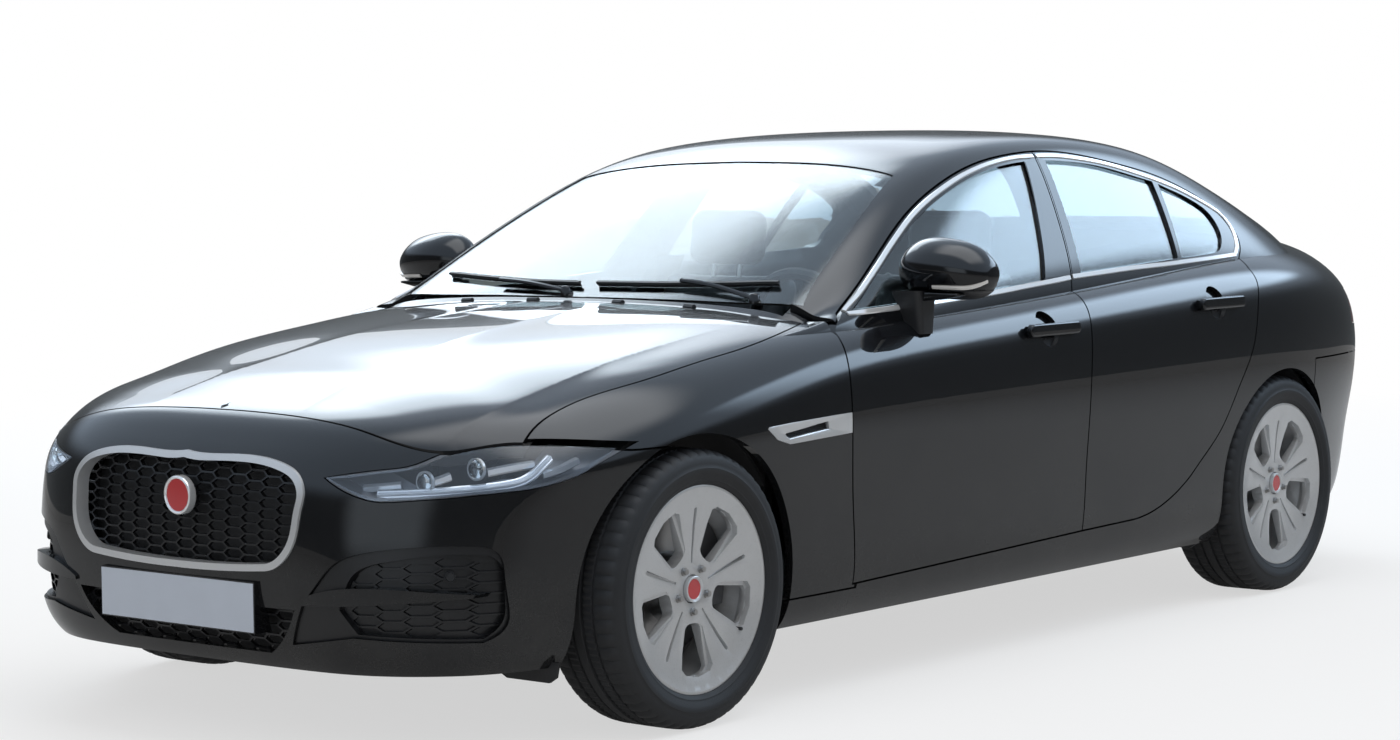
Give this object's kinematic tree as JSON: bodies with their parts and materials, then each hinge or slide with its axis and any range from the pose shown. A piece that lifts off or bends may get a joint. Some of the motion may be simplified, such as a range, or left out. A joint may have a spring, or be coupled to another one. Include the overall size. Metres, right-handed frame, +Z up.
{
  "type": "saloon car",
  "caption": "Saloon car with opening doors, bonnet and boot lid, steered front wheels and free-turning spoked wheels.",
  "frame": {"origin": "on the ground under the middle of the car", "axes": "+Z up, nose towards -Y, left side of the car towards +X"},
  "size_m": [2.08, 4.6785, 1.416],
  "materials": {
    "body_paint": "gloss",
    "side_glass": "gloss",
    "front_glass": "gloss",
    "lamp_glass": "gloss",
    "red_lens": "gloss",
    "satin_metal": "satin",
    "dark_plastic": "satin",
    "floor_steel": "matte",
    "seat_leather": "satin",
    "cast_metal": "matte",
    "bare_steel": "satin",
    "tyre": "matte",
    "plate_metal": "satin",
    "wheel_silver": "satin"
  },
  "bodies": {
    "shell": {"fenders": "body_paint", "front_bumper": "body_paint", "rear_bumper": "body_paint", "roof_panel": "body_paint", "body_sides": "body_paint", "headlamps": "lamp_glass", "taillamps": "red_lens", "grille_frame": "satin_metal", "grille_mesh": "dark_plastic", "fixed_glass": "front_glass", "front_plate": "plate_metal", "underbody": "floor_steel", "dashboard": "dark_plastic", "seats": "seat_leather", "engine_block": "cast_metal", "exhaust": "bare_steel", "suspension": "cast_metal"},
    "bonnet": {"bonnet": "body_paint"},
    "boot_lid": {"boot_lid": "body_paint", "rear_plate": "plate_metal"},
    "front_door_left": {"front_door_left": "body_paint", "front_door_glass_left": "side_glass", "mirror_left": "body_paint"},
    "front_door_right": {"front_door_right": "body_paint", "front_door_glass_right": "side_glass", "mirror_right": "body_paint"},
    "rear_door_left": {"rear_door_left": "body_paint", "rear_door_glass_left": "side_glass"},
    "rear_door_right": {"rear_door_right": "body_paint", "rear_door_glass_right": "side_glass"},
    "steering_wheel": {"steering_wheel": "dark_plastic"},
    "knuckle_left": {"knuckle_left": "cast_metal"},
    "knuckle_right": {"knuckle_right": "cast_metal"},
    "wheel_front_left": {"tyre_front_left": "tyre", "rim_front_left": "wheel_silver", "brake_disc_front_left": "bare_steel"},
    "wheel_front_right": {"tyre_front_right": "tyre", "rim_front_right": "wheel_silver", "brake_disc_front_right": "bare_steel"},
    "wheel_rear_left": {"tyre_rear_left": "tyre", "rim_rear_left": "wheel_silver", "brake_disc_rear_left": "bare_steel"},
    "wheel_rear_right": {"tyre_rear_right": "tyre", "rim_rear_right": "wheel_silver", "brake_disc_rear_right": "bare_steel"}
  },
  "joints": [
    {"name": "bonnet_hinge", "type": "hinge", "parent": "shell", "child": "bonnet", "pos_m": [0, -0.905, 0.978], "axis": [-1, 0, 0], "range_deg": [0, 50]},
    {"name": "boot_hinge", "type": "hinge", "parent": "shell", "child": "boot_lid", "pos_m": [0, 1.637, 1.13], "axis": [1, 0, 0], "range_deg": [0, 75]},
    {"name": "front_door_left_hinge", "type": "hinge", "parent": "shell", "child": "front_door_left", "pos_m": [0.925, -0.932, 0.6], "axis": [0, 0, -1], "range_deg": [0, 65]},
    {"name": "rear_door_left_hinge", "type": "hinge", "parent": "shell", "child": "rear_door_left", "pos_m": [0.925, 0.172, 0.6], "axis": [0, 0, -1], "range_deg": [0, 65]},
    {"name": "front_door_right_hinge", "type": "hinge", "parent": "shell", "child": "front_door_right", "pos_m": [-0.925, -0.932, 0.6], "axis": [0, 0, 1], "range_deg": [0, 65]},
    {"name": "rear_door_right_hinge", "type": "hinge", "parent": "shell", "child": "rear_door_right", "pos_m": [-0.925, 0.172, 0.6], "axis": [0, 0, 1], "range_deg": [0, 65]},
    {"name": "steering_wheel_turn", "type": "hinge", "parent": "shell", "child": "steering_wheel", "pos_m": [0.37, -0.37, 0.85], "axis": [0, 0.9272, 0.3746], "range_deg": [-455, 455]},
    {"name": "steer_left", "type": "hinge", "parent": "shell", "child": "knuckle_left", "pos_m": [0.72, -1.521, 0.33], "axis": [0, 0, 1], "range_deg": [-35, 35]},
    {"name": "steer_right", "type": "hinge", "parent": "shell", "child": "knuckle_right", "pos_m": [-0.72, -1.521, 0.33], "axis": [0, 0, 1], "range_deg": [-35, 35]},
    {"name": "spin_front_left", "type": "hinge", "parent": "knuckle_left", "child": "wheel_front_left", "pos_m": [0.801, -1.521, 0.33], "axis": [1, 0, 0], "continuous": true},
    {"name": "spin_front_right", "type": "hinge", "parent": "knuckle_right", "child": "wheel_front_right", "pos_m": [-0.801, -1.521, 0.33], "axis": [1, 0, 0], "continuous": true},
    {"name": "spin_rear_left", "type": "hinge", "parent": "shell", "child": "wheel_rear_left", "pos_m": [0.801, 1.314, 0.33], "axis": [1, 0, 0], "continuous": true},
    {"name": "spin_rear_right", "type": "hinge", "parent": "shell", "child": "wheel_rear_right", "pos_m": [-0.801, 1.314, 0.33], "axis": [1, 0, 0], "continuous": true}
  ],
  "couplings": [
    {"joint": "steer_left", "follows": "steering_wheel_turn", "ratio": 0.076923},
    {"joint": "steer_right", "follows": "steering_wheel_turn", "ratio": 0.076923}
  ]
}
